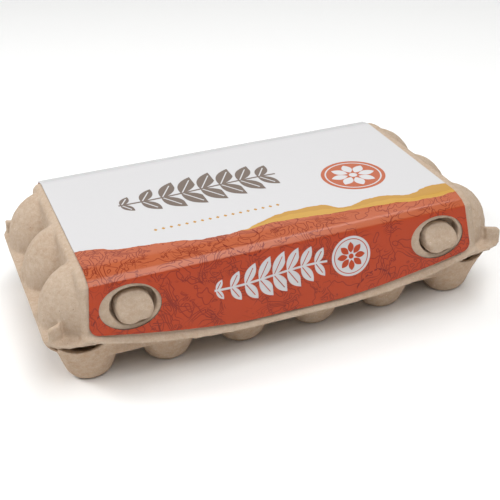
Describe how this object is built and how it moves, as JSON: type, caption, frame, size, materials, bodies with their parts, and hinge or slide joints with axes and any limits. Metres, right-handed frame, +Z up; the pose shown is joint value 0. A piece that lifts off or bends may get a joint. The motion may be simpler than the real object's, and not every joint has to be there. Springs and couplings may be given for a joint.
{
  "type": "egg carton",
  "caption": "Shut moulded-pulp egg carton with cups in rows, egg-shaped end lobes, two front latches and a printed paper label over the lid.",
  "frame": {"origin": "on the surface that the cups stand on, under the middle of the carton", "axes": "+X along the carton's length, -Y towards the latches on the front, +Z up"},
  "size_m": [0.2908, 0.1592, 0.0741],
  "materials": {
    "moulded_pulp": "rough moulded paper pulp, grey-brown",
    "printed_paper": "satin printed paper in white, rust red and mustard"
  },
  "bodies": {
    "root": {"tray": "moulded_pulp", "lid": "moulded_pulp", "label": "printed_paper", "latch_left": "moulded_pulp", "latch_right": "moulded_pulp"}
  },
  "joints": []
}
